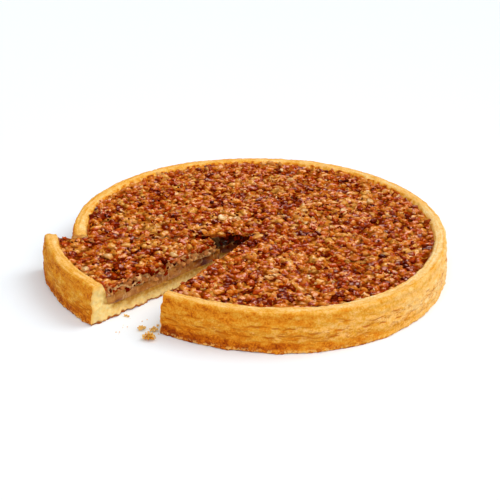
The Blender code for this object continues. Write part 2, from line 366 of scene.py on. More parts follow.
def fill(loop, step):
    """Points and triangles that fill a closed loop in a plane. The loop's own points come first."""
    inner = lattice(loop, step)
    points = np.concatenate([loop, inner])
    made = delaunay_2d_cdt([Vector(p) for p in points], [], [range(len(loop))], 1, 1e-7)
    source = np.array([sources[0] if sources else -1 for sources in made[3]])
    triangles = source[np.array(made[2])]
    kept, numbers = np.unique(triangles, return_inverse=True)
    inner_kept = kept[kept >= len(loop)]
    renumber = np.zeros(len(points), dtype=int)
    renumber[: len(loop)] = np.arange(len(loop))
    renumber[inner_kept] = len(loop) + np.arange(len(inner_kept))
    triangles = renumber[kept[numbers.reshape(-1, 3)]]
    points = np.concatenate([loop, points[inner_kept]])
    a, b, c = (points[triangles[:, n]] for n in range(3))
    ab, ac = b - a, c - a
    clockwise = ab[:, 0] * ac[:, 1] - ab[:, 1] * ac[:, 0] < 0
    triangles[clockwise] = triangles[clockwise][:, ::-1]
    return points, triangles


def arrays(bm):
    """A bmesh's points and triangles. The bmesh is freed."""
    bm.verts.index_update()
    points = np.array([vertex.co for vertex in bm.verts])
    triangles = np.array([[vertex.index for vertex in face.verts] for face in bm.faces])
    bm.free()
    return points, triangles


def welded(patches):
    """One mesh of (points, triangles) patches that share their borders' points, with its faces outwards."""
    bm = bmesh.new()
    for points, triangles in patches:
        made = [bm.verts.new(point) for point in points.tolist()]
        for a, b, c in triangles.tolist():
            bm.faces.new((made[a], made[b], made[c]))
    bmesh.ops.remove_doubles(bm, verts=bm.verts, dist=0.002 * MM)
    bmesh.ops.recalc_face_normals(bm, faces=bm.faces)
    return arrays(bm)


def point_normals(points, triangles):
    """The mesh's normal at each point: the mean of its faces' normals, by their areas."""
    a, b, c = (points[triangles[:, n]] for n in range(3))
    across = np.cross(b - a, c - a)
    total = np.zeros_like(points)
    for axis, corner in itertools.product(range(3), range(3)):
        total[:, axis] += np.bincount(triangles[:, corner], across[:, axis], len(points))
    return total / np.maximum(np.linalg.norm(total, axis=1, keepdims=True), 1e-12)


def new_object(name, data, place=(0, 0, 0)):
    """An object of the scene with this data."""
    made = bpy.data.objects.new(name, data)
    made.location = place
    bpy.context.scene.collection.objects.link(made)
    return made


def new_piece(name, points, triangles, made_of, slot, replaced=None, place=None, **marks):
    """A piece on the tart's body. Its marks are numbers for each point, which its material reads by name."""
    mesh = bpy.data.meshes.new(name)
    mesh.from_pydata(points.tolist(), [], triangles.tolist())
    for mark, values in marks.items():
        made = mesh.attributes.new(mark, "FLOAT", "POINT")
        made.data.foreach_set("value", np.asarray(values, dtype=np.float32))
    if place is not None:
        mesh.transform(place)
    mesh.materials.append(made_of)
    mesh.shade_smooth()
    piece = new_object(name, mesh)
    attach(piece, "root")
    if replaced:
        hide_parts(replaced)
    return piece


# ---------------------------------------------------------------- materials


def srgb(*shown):
    """The linear colour, with an alpha of 1, of a colour as a screen shows it, 0 to 255."""
    return (*(((c / 255 + 0.055) / 1.055) ** 2.4 if c > 10 else c / 3294.6 for c in shown), 1)


class Recipe:
    """One material's nodes, added by short calls. Each call gives the new node's output.

    Scatter is the share of light that goes in, red's depth, and green's and blue's as shares of that.
    """

    def __init__(self, name, scatter=None, **fixed):
        self.material = bpy.data.materials.new(name)
        self.material.use_nodes = True
        self.tree = self.material.node_tree
        self.shader = self.tree.nodes["Principled BSDF"]
        if scatter:
            weight, depth, green, blue = scatter
            fixed.update(Subsurface_Weight=weight, Subsurface_Scale=depth, Subsurface_Radius=(1, green, blue))
        for socket, value in fixed.items():
            self.shader.inputs[socket.replace("_", " ")].default_value = value
        self.place = self.node("ShaderNodeTexCoord").outputs["Object"]

    def node(self, kind, **settings):
        made = self.tree.nodes.new(kind)
        for key, value in settings.items():
            setattr(made, key, value)
        return made

    def put(self, value, socket):
        """Links an output to a socket, or sets the socket to a plain value."""
        if isinstance(value, bpy.types.NodeSocket):
            self.tree.links.new(value, socket)
        else:
            socket.default_value = value

    def mark(self, name):
        return self.node("ShaderNodeAttribute", attribute_name=name).outputs["Fac"]

    def noise(self, size, detail=3, roughness=0.55, stretch=(1, 1, 1)):
        """Noise from 0 to 1 with lumps of this size."""
        mapping = self.node("ShaderNodeMapping")
        self.put(self.place, mapping.inputs["Vector"])
        mapping.inputs["Scale"].default_value = stretch
        made = self.node("ShaderNodeTexNoise")
        self.put(mapping.outputs[0], made.inputs["Vector"])
        made.inputs["Scale"].default_value = 1 / size
        made.inputs["Detail"].default_value = detail
        made.inputs["Roughness"].default_value = roughness
        return made.outputs["Fac"]

    def sum(self, *terms):
        """Adds (output, factor) pairs and plain numbers."""
        total = None
        for term in terms:
            if isinstance(term, tuple):
                term = self.math("MULTIPLY", *term)
            total = term if total is None else self.math("ADD", total, term)
        return total

    def math(self, operation, *values, clamp=False):
        made = self.node("ShaderNodeMath", operation=operation, use_clamp=clamp)
        for value, socket in zip(values, made.inputs):
            self.put(value, socket)
        return made.outputs[0]

    def fade(self, value, low, high):
        """0 where value is low, 1 where it is high, and smooth between."""
        made = self.node("ShaderNodeMapRange", interpolation_type="SMOOTHSTEP")
        for socket, given in zip(("Value", "From Min", "From Max"), (value, low, high)):
            self.put(given, made.inputs[socket])
        return made.outputs["Result"]

    def ramp(self, value, *stops):
        """Colours along a value. Each stop is a place and a screen's red, green and blue."""
        made = self.node("ShaderNodeValToRGB")
        elements = made.color_ramp.elements
        while len(elements) < len(stops):
            elements.new(0.5)
        for element, (place, *colour) in zip(elements, stops):
            element.position = place
            element.color = srgb(*colour)
        self.put(value, made.inputs["Fac"])
        return made.outputs["Color"]

    def mix(self, share, below, above):
        """A colour with this share of another over it, which may be a screen's red, green and blue."""
        made = self.node("ShaderNodeMix", data_type="RGBA")
        first, second = (socket for socket in made.inputs if socket.type == "RGBA")
        self.put(share, made.inputs["Factor"])
        self.put(below, first)
        self.put(srgb(*above) if isinstance(above, tuple) else above, second)
        return next(socket for socket in made.outputs if socket.type == "RGBA")

    def bump(self, height, distance, strength):
        made = self.node("ShaderNodeBump")
        made.inputs["Distance"].default_value = distance
        made.inputs["Strength"].default_value = strength
        self.put(height, made.inputs["Height"])
        self.put(made.outputs["Normal"], self.shader.inputs["Normal"])

    def colour(self, value):
        self.put(value, self.shader.inputs["Base Color"])

    def roughness(self, value):
        self.put(value, self.shader.inputs["Roughness"])

    def glaze(self, value):
        """How much of a clear glossy coat lies here, from 0 to 1."""
        self.put(self.math("ADD", value, 0.0, clamp=True), self.shader.inputs["Coat Weight"])


def pastry_material():
    """Shortcrust: golden by how baked it is and by the painted light and shade in that mark, with painted
    shade in its orange-brown cracks, pale and soaked at the cuts.
    """
    r = Recipe("pastry", (0.12, 2 * MM, 0.55, 0.25), Specular_IOR_Level=0.08)
    grain = r.noise(1.2 * MM, detail=4, roughness=0.6)
    sand = r.fade(grain, 0.36, 0.64)
    blotch = r.fade(r.noise(5 * MM, detail=2), 0.3, 0.7)
    # This mark carries painted light and shade as well as how baked the crust is.
    bake = r.sum((r.mark("bake"), 1.0), (sand, 0.2), (blotch, 0.12), -0.16)
    baked = r.ramp(
        bake,
        (0.0, 255, 222, 162),
        (0.1, 254, 208, 132),
        (0.28, 250, 188, 98),
        (0.46, 236, 167, 52),
        (0.64, 230, 137, 22),
        (0.84, 190, 86, 6),
        (1.0, 144, 54, 2),
    )
    from_middle = r.math("SUBTRACT", r.noise(7 * MM, detail=2, stretch=(1, 1, 5)), 0.5)
    line = r.fade(r.math("ABSOLUTE", from_middle), 0.09, 0.0)
    broken = r.fade(r.noise(9 * MM, detail=2, stretch=(1, 1, 2)), 0.46, 0.54)
    fine_crack = r.math("MULTIPLY", r.math("MULTIPLY", line, broken), r.mark("split"))
    # Painted shade: the cracks, and the fine cracks drawn only in colour, are darker orange-brown.
    crack = r.math("MAXIMUM", r.fade(r.mark("crack"), 0.0, 0.6), r.sum((fine_crack, 0.75)))
    cracked = r.mix(r.sum((crack, 0.9)), baked, (198, 100, 2))
    bits = r.math("MULTIPLY", r.fade(r.noise(2.2 * MM, detail=2), 0.51, 0.57), r.mark("foot"))
    cracked = r.mix(r.sum((bits, 0.85)), cracked, (252, 196, 104))
    soft = r.noise(2.3 * MM, detail=4)
    crumb = r.ramp(soft, (0.3, 252, 206, 116), (0.5, 255, 218, 140), (0.75, 255, 230, 164))
    soaked = r.ramp(soft, (0.3, 188, 124, 32), (0.5, 212, 160, 68), (0.75, 234, 197, 116))
    syrup = r.fade(r.mark("soak"), 0.92, 1.0)
    soaked = r.mix(r.sum((syrup, 0.5)), soaked, (168, 96, 8))
    cut = r.mix(r.mark("soak"), crumb, soaked)
    cut = r.mix(r.mark("rim"), cut, (253, 193, 94))
    cut = r.mix(r.mark("scorch"), cut, (168, 82, 16))
    r.colour(r.mix(r.mark("cut"), cracked, cut))
    r.roughness(r.sum((r.mark("soak"), -0.3), 0.72))
    r.bump(r.sum((grain, 1.0), (r.noise(0.4 * MM, detail=2), 0.5)), 0.8 * MM, 0.9)
    return r.material


def cream_material():
    """Walnut cream: a moist beige jelly, browner in places and with painted shade near the tart's notch, with
    pale streaks and painted shade of small pockets.
    """
    r = Recipe(
        "walnut_cream",
        (0.3, 3 * MM, 0.5, 0.22),
        Roughness=0.32,
        Coat_Weight=0.3,
        Coat_Roughness=0.2,
        Coat_IOR=1.35,
        Specular_IOR_Level=0.25,
    )
    zone = r.fade(r.noise(9 * MM, detail=3), 0.36, 0.64)
    drip = r.fade(r.noise(2.6 * MM, detail=3, stretch=(0.4, 0.4, 1)), 0.34, 0.66)
    # The brown mark darkens the cream: painted shade in the tart's notch, and a darker band on the slice.
    tone = r.sum((zone, 0.4), (drip, 0.3), (r.mark("brown"), 0.75), -0.05)
    jelly = r.ramp(tone, (0.0, 202, 140, 62), (0.25, 182, 112, 38), (0.6, 148, 76, 16), (0.95, 98, 34, 4))
    streak = r.fade(r.noise(1.8 * MM, detail=2, stretch=(1, 1, 0.35)), 0.58, 0.68)
    jelly = r.mix(r.sum((streak, 0.5)), jelly, (222, 178, 112))
    # Painted shade of small pockets, with no relief under it.
    pocket_shade = r.fade(r.noise(4 * MM, detail=3, stretch=(0.6, 0.6, 1.5)), 0.58, 0.68)
    r.colour(r.mix(r.sum((pocket_shade, 0.7)), jelly, (88, 36, 6)))
    r.bump(drip, 0.3 * MM, 0.5)
    return r.material


def caramel_material():
    """The baked top that holds the walnuts: amber to dark caramel above, beige walnut cream at the cuts, and
    painted shade in the gaps, the hollows and the tart's notch.
    """
    r = Recipe("caramel", (0.1, 1.5 * MM, 0.4, 0.15), **GLAZED)
    patch = r.noise(3.6 * MM, detail=4, roughness=0.6)
    zone = r.noise(11 * MM, detail=2)
    fine = r.noise(1.6 * MM, detail=3)
    tone = r.sum((patch, 0.8), (fine, 0.5), -0.15)
    through = r.sum((r.mark("tone"), 0.6), (patch, 0.7), (zone, 0.6), (fine, 0.35), -0.65)
    glazed = r.ramp(through, (0.1, 102, 16, 0), (0.32, 174, 58, 2), (0.52, 204, 106, 18), (0.8, 216, 148, 58))
    # Painted shade: dark in the gaps between the walnut pieces.
    glazed = r.mix(r.sum((r.mark("gap"), 0.8)), glazed, (80, 13, 0))
    bits = r.noise(3 * MM, detail=2)
    glazed = r.mix(r.sum((r.fade(bits, 0.6, 0.64), 0.5)), glazed, (222, 150, 50))
    glazed = r.mix(r.sum((r.fade(bits, 0.4, 0.36), 0.45)), glazed, (84, 13, 0))
    flesh = r.ramp(tone, (0.2, 150, 82, 32), (0.4, 204, 142, 78), (0.6, 228, 178, 114), (0.8, 244, 212, 158))
    # Painted shade in the hollows under the caramel skin at the cuts.
    flesh = r.mix(r.sum((r.mark("hollow"), 0.85)), flesh, (74, 26, 4))
    # Painted shade in the tart's notch, near its tip.
    flesh = r.mix(r.mark("brown"), flesh, (46, 12, 1))
    r.colour(r.mix(r.mark("flesh"), glazed, flesh))
    r.bump(fine, 0.5 * MM, 0.35)
    r.glaze(r.sum((r.mark("gap"), -1.6), (patch, 0.9), 0.55))
    return r.material


def walnut_material(name, sunk_and_shaded, body, light):
    """Glazed walnut: dark where it sinks into the caramel, partly as painted shade low between the pieces,
    lighter on top, and lightest on its bare edges.
    """
    r = Recipe(name, (0.12, 2 * MM, 0.45, 0.2), **GLAZED)
    wrinkle = r.noise(2.2 * MM, detail=3, roughness=0.6, stretch=(1, 1.6, 1))
    patch = r.noise(4 * MM, detail=2)
    tone = r.sum((wrinkle, 0.7), (patch, 0.4), (r.mark("tone"), 0.5), (r.mark("top"), 0.55), -0.68)
    r.colour(r.ramp(tone, (0.1, *sunk_and_shaded), (0.5, *body), (0.9, *light)))
    r.bump(wrinkle, 0.5 * MM, 0.35)
    r.glaze(r.sum((r.mark("top"), 2.0), (patch, 0.8), -1.1))
    return r.material


# ---------------------------------------------------------------- the shells


def crag(along, height):
    """How far the model's wall stands out or in here."""
    ledges = noise.noise(Vector((along / (16 * MM), height / (3.2 * MM), 4.1)))
    lumps = noise.noise(Vector((along / (30 * MM), height / (9 * MM), 9.7)))
    return 0.75 * MM * ledges + 0.5 * MM * lumps


def cracks(sector, rolled, draw):
    """Depth, from 0 to 1, of the long level cracks in the wall."""
    depth = np.zeros(len(rolled))
    along, height = rolled[:, 0], rolled[:, 2]
    for _ in range(round((sector.end - sector.start) * CRACKS_PER_RADIAN)):
        middle = draw.uniform(sector.start, sector.end) * TART_RADIUS
        half = draw.triangular(1.5, 4, 12.5) * MM
        level = draw.triangular(5, 11.5, 23) * MM
        slope = draw.normal(0, 0.06)
        sway = draw.uniform(0.15, 0.45) * MM
        wave = draw.uniform(1, 2.2) * MM
        phase = draw.uniform(0, 6)
        strength = draw.uniform(0.35, 1)
        width = draw.uniform(0.3, 0.7) * MM
        near = np.nonzero((np.abs(along - middle) < half) & (np.abs(height - level) < 4 * MM))[0]
        offset = along[near] - middle
        line = level + slope * offset + sway * np.sin(offset / wave + phase)
        above = height[near] - line
        away = np.where(above > 0, above / (0.6 * width), above / (1.3 * width))
        taper = 1 - (offset / half) ** 2
        depth[near] = np.maximum(depth[near], strength * taper * np.exp(-(away**2)))
    return depth


def shell_patches(sector, ray_count):
    """The shell before its relief: wall, floor, underside and the two cut faces."""
    profile = wall_profile()
    rays = sector.directions(ray_count)
    reach = sector.reach(rays[:, None], profile[None, :, 0] + 0 * rays[:, :1])
    flat = sector.tip + rays[:, None] * reach[..., None]
    wall = np.concatenate([flat, np.broadcast_to(profile[None, :, 1:], (*reach.shape, 1))], axis=2)
    patches = [(wall.reshape(-1, 3), grid_faces(*reach.shape))]
    sill = spaced([(0, BASE_THICKNESS), (0, 0)], WALL_STEP)
    for column, height in ((0, BASE_THICKNESS), (-1, 0)):
        edges = [
            sector.tip + rays[end] * spaced([(0,), (reach[end, column],)], SURFACE_STEP) for end in (0, -1)
        ]
        loop = np.concatenate([edges[0][:-1], wall[:, column, :2], edges[1][-2:0:-1]])
        points, triangles = fill(loop, HIDDEN_STEP if height == 0 or sector.loss == 0 else SURFACE_STEP)
        patches.append((at_height(points, height), triangles))
    for end in (0, -1):
        floor = spaced([(0, BASE_THICKNESS), (reach[end, 0], BASE_THICKNESS)], SURFACE_STEP)
        under = spaced([(0, 0), (reach[end, -1], 0)], SURFACE_STEP)
        edge = np.column_stack([reach[end], profile[:, 1]])
        loop = np.concatenate([under[:-1], edge[::-1], floor[-2::-1], sill[1:-1]])
        points, triangles = fill(loop, SURFACE_STEP * 0.8)
        face = np.column_stack([sector.tip + rays[end] * points[:, :1], points[:, 1]])
        patches.append((face, triangles))
    return patches


class Spots:
    """Where the points of a shell lie: along and up its wall, out from the middle, and in from its cuts."""

    def __init__(self, sector, points):
        self.points = points
        self.rolled = sector.unrolled(points)
        along, self.radius, self.height = self.rolled.T
        self.turn = along / TART_RADIUS
        self.inset = np.abs(sector.inset(points))
        self.cut = self.inset < 0.01 * MM
        self.on_wall = ease_over(self.radius, TART_RADIUS - 1.5 * MM, 1.5 * MM)
        self.streaks = fuzz(self.rolled, (15, 0.9, 0.9), 5)


def wall_relief(spots, crack):
    """How far the wall stands out of its profile: the model's ledges, cracks, and a crumbly foot."""
    grown = np.zeros(len(spots.points))
    outside = (spots.radius > TART_RADIUS - 1 * MM) & (spots.height > 0.1 * MM)
    fade = np.minimum(1, (RIM_HEIGHT + 1 * MM - spots.height) / (6 * MM))
    for index in np.nonzero(outside)[0]:
        turn = math.atan2(spots.points[index, 1], spots.points[index, 0])
        grown[index] = crag(turn * TART_RADIUS, spots.height[index]) * fade[index]
    crumbly = ease_over(spots.height, 5 * MM, -4 * MM) * spots.on_wall
    return grown - 0.4 * MM * crack + crumbly * bumps(spots.points, (0.4, 1.9, 3))


def shape_rim(spots, moved):
    """Lifts the rim by the model's waves, along its inner edge in front, and in a swell at the back right."""
    high = np.clip((spots.height - TOPPING_LEVEL) / (RIM_HEIGHT - TOPPING_LEVEL), 0, 1.3)
    for index in np.nonzero(high > 0)[0]:
        x, y = spots.points[index, :2] / (42 * MM)
        moved[index, 2] += 0.8 * MM * noise.noise(Vector((x, y, 1.3))) * high[index]
    inner_edge = bell(spots.radius, TART_RADIUS - 8.2 * MM, 1.4 * MM) * (spots.height > TOPPING_LEVEL)
    moved[:, 2] += 1.15 * MM * inner_edge * ease(0.4 - moved[:, 1] / TART_RADIUS)
    swell = bell(spots.turn, math.radians(60), math.radians(22)) * np.clip(high, 0, 1)
    moved[:, 2] += 0.9 * MM * swell
    moved[:, :2] *= (1 + 1.1 * MM * swell / TART_RADIUS)[:, None]


def grain(spots):
    """How far the finest relief stands out: level streaks and a groove along the rim, or pits in the cuts."""
    points, rolled = spots.points, spots.rolled
    groove = bell(spots.radius, TART_RADIUS - 3 * MM, 0.5 * MM) * (spots.height > TOPPING_LEVEL)
    skin = 0.13 * MM * spots.streaks - 0.22 * MM * groove * (1 + 0.6 * fuzz(rolled, 9, 6))
    skin += bumps(points, (0.2, 3.2, 7), (0.14, 1.6, 8))
    skin += spots.on_wall * bumps(rolled, (0.25, (4.5, 2, 2), 20))
    torn = bumps(points, (0.2, 2.2, 9), (0.15, 1.2, 10))
    torn -= 0.4 * MM * np.maximum(0, fuzz(points, 1.7, 11) - 0.45)
    underneath = (spots.height < 0.01 * MM) & ~spots.cut
    return np.where(underneath, 0, np.where(spots.cut, torn, skin))


def tears(spots):
    """How far the torn cuts stand out sideways, and how far their lower edges are lifted."""
    tear = bumps(spots.points, (0.9, 4.4, 62), (0.35, 1.9, 63))
    fringe = 0.4 + fuzz(spots.points, 2.4, 64)
    fringe *= 0.5 * MM * ease(1.2 - spots.height / (1.6 * MM))
    ragged = np.maximum(0, 0.3 + fuzz(spots.points, (1.9, 1.9, 50), 12))
    at_edge = ease_over(spots.inset, 4 * MM, -4 * MM) * ease_over(spots.height, 3 * MM, -3 * MM)
    lift = 0.65 * MM * ragged * at_edge
    return (tear + fringe) * ease_over(spots.inset, 5 * MM, -5 * MM), lift


def baking_and_light(spots, paler):
    """How dark the crust's colour is, from pale at 0 to dark at 1: mostly how baked it is, with painted light
    that makes it paler on the right and painted shade along the wall's lowest edge. Paler is how much paler
    the wall is.
    """
    points, rolled, radius, height = spots.points, spots.rolled, spots.radius, spots.height
    crown = ease_over(radius, TART_RADIUS - 0.9 * MM, -0.7 * MM) * ease_over(height, 24 * MM, 2 * MM)
    crown = np.maximum(crown, ease_over(height, 27.2 * MM, 0.7 * MM))
    lip = ease_over(height, 18 * MM, 4 * MM) * ease_over(height, 27.6 * MM, -2 * MM) * spots.on_wall
    across = (radius - TART_RADIUS) / RIM_WIDTH + 1
    ridge = bell(radius, TART_RADIUS - 1.7 * MM, 0.5 * MM) * crown
    mottle = fuzz(rolled, (4.5, 2, 2), 14) + 0.5 * fuzz(rolled, (2, 1, 1), 18)
    # Painted light: the wall and crown are paler towards the right, where the key light falls.
    side = ease(0.5 + 0.5 * np.cos(spots.turn - math.radians(10)))
    back = ease(0.3 + np.sin(spots.turn))
    # Darker along the rim's inner edge, most at the back.
    inner_edge_dark = ease(1 - (across - 0.1) / (0.16 + 0.1 * back)) * (height > 20 * MM)
    inner_edge_dark *= np.maximum(0, 0.6 + 0.8 * fuzz(points, 2.5, 19))

    of_wall = 0.12 - paler - 0.3 * side - 0.17 * side**4
    of_crown = 0.4 * paler - 0.23 - 0.02 * side - 0.12 * side**4 + 0.08 * back
    of_crown += 0.08 * ease_over(across, 0.5, 0.35) + 0.08 * mottle + 0.12 * spots.streaks + 0.12 * ridge
    bake = 0.5 + 0.1 * mottle * (1 - crown) + 0.08 * lip + spots.on_wall * of_wall + crown * of_crown
    bake += (0.12 + 0.45 * back) * inner_edge_dark
    low = ease_over(height, 9.8 * MM + bumps(rolled, (0.7, 2.5, 13)), -4.6 * MM)
    bake += (0.31 - paler - 0.13 * side - 0.1 * side**4) * low * spots.on_wall
    bake -= 0.3 * ease_over(height, 1.3 * MM, -1.3 * MM) * np.maximum(0, fuzz(points, 1.6, 17) + 0.2)
    # Painted shade: darker along the wall's lowest edge, where it meets the floor.
    bake += 0.4 * ease(1.2 - height / (0.8 * MM)) * spots.on_wall
    bake[height < 0.01 * MM] = 0.85
    return bake


def crust_marks(spots):
    """Where the crust is cut, soaked by the filling, browned at a cut's edges, split, or part of the foot."""
    points, radius, height = spots.points, spots.radius, spots.height
    to_inside = np.minimum(radius - inside_radius(height), 20 * MM)
    to_filling = np.maximum(BASE_THICKNESS - height, 1.5 * to_inside)
    soak = ease(1.35 - to_filling / (5.2 * MM) + 0.16 * fuzz(points, 4, 15))
    soak *= ease_over(height, 24 * MM, -5 * MM) * (1 - 0.14 * ease_over(height, 12 * MM, 2 * MM))
    skin = np.array(outer_profile()[:2:-1])
    to_skin = np.interp(height, skin[:, 1], skin[:, 0]) - radius
    rim = np.maximum(ease_over(height, 22.5 * MM, 5 * MM), 0.8 * ease(1.4 - to_skin / (1.6 * MM)))
    scorch = ease(1.4 - height / (1.5 * MM) + 0.6 * fuzz(points, 2.5, 16))
    split = spots.on_wall * ease_over(height, 18 * MM, -3 * MM) * ease_over(height, 3 * MM, 3 * MM)
    foot = spots.on_wall * ease(1.5 - height / (2.4 * MM)) * ease(height / (0.9 * MM))
    return {"cut": spots.cut, "soak": soak, "rim": rim, "scorch": scorch, "split": split, "foot": foot}


def shell(name, sector, ray_count, made_of, node):
    """A pastry shell with its relief, and the marks that its material colours it by, painted light and shade
    among them.
    """
    points, triangles = welded(shell_patches(sector, ray_count))
    normals = point_normals(points, triangles)
    spots = Spots(sector, points)
    crack = cracks(sector, spots.rolled, np.random.default_rng(ray_count)) * spots.on_wall * ~spots.cut
    moved = points.copy()
    moved[:, :2] *= (1 + wall_relief(spots, crack) / np.maximum(spots.radius, 1 * MM))[:, None]
    shape_rim(spots, moved)
    moved += normals * grain(spots)[:, None]
    sideways, lift = tears(spots)
    moved += sector.outward(points) * sideways[:, None]
    moved[:, 2] = np.maximum(moved[:, 2], 0) + lift
    marks = {"bake": baking_and_light(spots, 0.07 if sector.loss else 0), "crack": crack, **crust_marks(spots)}
    new_piece(name, moved, triangles, made_of, "pastry", node, sector.place, **marks)


# ---------------------------------------------------------------- the filling


def layer_mesh(outlines, heights, step):
    """A closed layer: a fine flat top, walls through an outline at each height, and a coarse underside."""
    rings = np.concatenate([at_height(line, height) for line, height in zip(outlines, heights)])
    patches = [(rings, grid_faces(len(outlines), len(outlines[0]), closed=True))]
    for end, spacing in ((0, step), (-1, HIDDEN_STEP)):
        flat, triangles = fill(outlines[end], spacing)
        patches.append((at_height(flat, heights[end]), triangles))
    return welded(patches)


def filling_layer(sector, top, bottom, gap, cut_step, arc_count, top_step):
    """A layer between two heights inside the shell, before its relief."""
    heights = spaced([(top,), (bottom,)], WALL_STEP)[:, 0]
    cut_count = round((TART_RADIUS - sector.loss) / cut_step)
    outlines = [sector.outline(inside_radius(h) - gap, cut_count, arc_count) for h in heights]
    return layer_mesh(outlines, heights, top_step)


def seam(points):
    """How far the seam between cream and topping lies above or below its level here."""
    return bumps(points * (1, 1, 0), (1.7, 8, 25), (1.2, 3, 26))


def cream(name, sector, arc_count, made_of, node):
    """The layer of cream, which bulges and sags a little at the cuts, and runs out to the slice's tip."""
    points, triangles = filling_layer(
        sector, CREAM_LEVEL, BASE_THICKNESS + 0.05 * MM, 0.1 * MM, 0.6 * MM, arc_count // 4, HIDDEN_STEP
    )
    normals = point_normals(points, triangles)
    at_cut = ease(1 - (sector.inset(points) - sector.loss * 0.1) / (1 * MM))
    bulge = bumps(points, (0.5, (9, 9, 4), 21), (0.25, (5, 5, 2), 22))
    above = points[:, 2] - BASE_THICKNESS
    moved = points + normals * (at_cut * (bulge - 0.2 * MM) * ease(above / (1 * MM)))[:, None]
    moved[:, 2] += seam(points) * above / (CREAM_LEVEL - BASE_THICKNESS)
    to_tip = np.linalg.norm(points[:, :2] - sector.tip, axis=1)
    toward = 0.95 * (sector.loss > 0) * ease(1.5 - to_tip / (8 * MM))
    moved[:, :2] += (sector.tip - points[:, :2]) * toward[:, None]
    # Darker near the tip: on the tart, painted shade in the notch; on the slice, a band some 10 to 30 mm from
    # the tip.
    brown = ease(1.4 - to_tip / sector.darkened)
    brown *= 1 - 0.9 * (sector.loss > 0) * ease(1.8 - to_tip / (9 * MM))
    new_piece(name, moved, triangles, made_of, "walnut_cream", node, sector.place, brown=brown)


def at_back(spots):
    """1 for spots in the back of the tart, where the pieces climb the wall, and 0 in front."""
    return ease(0.5 + np.sin(np.arctan2(spots[:, 1], spots[:, 0])))


def walnut_places(sector, draw):
    """The common walnut pieces: each one's place in plan, sizes, turn and kind, and how far it stands out."""
    reach = TART_RADIUS + 2 * MM
    loop = np.array([(-reach, -reach), (reach, -reach), (reach, reach), (-reach, reach)])
    spots = lattice(loop, PIECE_SPACING)
    spots = spots + draw.uniform(-0.4, 0.4, spots.shape) * PIECE_SPACING
    from_wall = draw.uniform(0.8, 3.2, len(spots)) * MM - 3 * MM * at_back(spots)
    spots = spots[inside_filling(sector, spots, 0.1 * MM, from_wall)]
    count = len(spots)
    flat = at_height(spots, 0)
    pieces = np.empty(count, dtype=[(field, float) for field in PIECE_FIELDS])
    pieces["x"], pieces["y"] = spots.T
    pieces["length"] = draw.triangular(*PIECE_LENGTHS, count)
    pieces["width"] = pieces["length"] * draw.uniform(0.6, 0.95, count)
    pieces["height"] = pieces["length"] * draw.uniform(0.5, 0.75, count)
    pieces["spin"] = draw.uniform(0, 2 * math.pi, count)
    to_wall = inside_radius(TOPPING_LEVEL) - sector.unrolled(flat)[:, 1]
    climb = ease(1 - to_wall / (3 * MM)) * at_back(spots)
    pieces["stands"] = draw.uniform(0.5, 2.1, count) * MM + 1.8 * MM * climb
    zone = 0.16 * fuzz(flat, 16, 60)
    pieces["kind"] = np.searchsorted(KIND_SHARES, np.clip(draw.uniform(0, 1, count) + zone, 0.001, 0.999))
    return pieces


def over_pieces(points, pieces):
    """How far the pieces lift the caramel over them at each point, and the tone that shows through it."""
    near = kdtree.KDTree(len(pieces))
    for index, piece in enumerate(pieces):
        near.insert((piece["x"], piece["y"], 0), index)
    near.balance()
    found = np.array([[hit[1] for hit in near.find_n((x, y, 0), 5)] for x, y in points[:, :2]])
    theirs = pieces[found]
    x, y = points[:, :1] - theirs["x"], points[:, 1:2] - theirs["y"]
    cosine, sine = np.cos(theirs["spin"]), np.sin(theirs["spin"])
    along = (x * cosine + y * sine) / (0.5 * theirs["length"])
    across = (y * cosine - x * sine) / (0.5 * theirs["width"])
    away = np.hypot(along, across) * (1 + 0.16 * fuzz(points, 1.7, 61))[:, None]
    lifted = (1 - ease((away - 0.4) / 0.85)) * theirs["stands"]
    weight = (lifted / MM + 0.02) ** 5
    tone = (weight * np.array(KIND_TONES)[theirs["kind"].astype(int)]).sum(axis=1) / weight.sum(axis=1)
    return (lifted**6).sum(axis=1) ** (1 / 6), tone


def inside_filling(sector, spots, from_cut, from_wall):
    """Which spots are at least this far inside the filling."""
    radius = sector.unrolled(at_height(spots, 0))[:, 1]
    kept = (sector.inset(spots) > from_cut) & (radius < inside_radius(TOPPING_LEVEL) - from_wall)
    if sector.loss:
        middle = (sector.start + sector.end) / 2
        out = (spots - sector.tip) @ np.array([math.cos(middle), math.sin(middle)])
        kept &= out > sector.loss + from_cut
    return kept


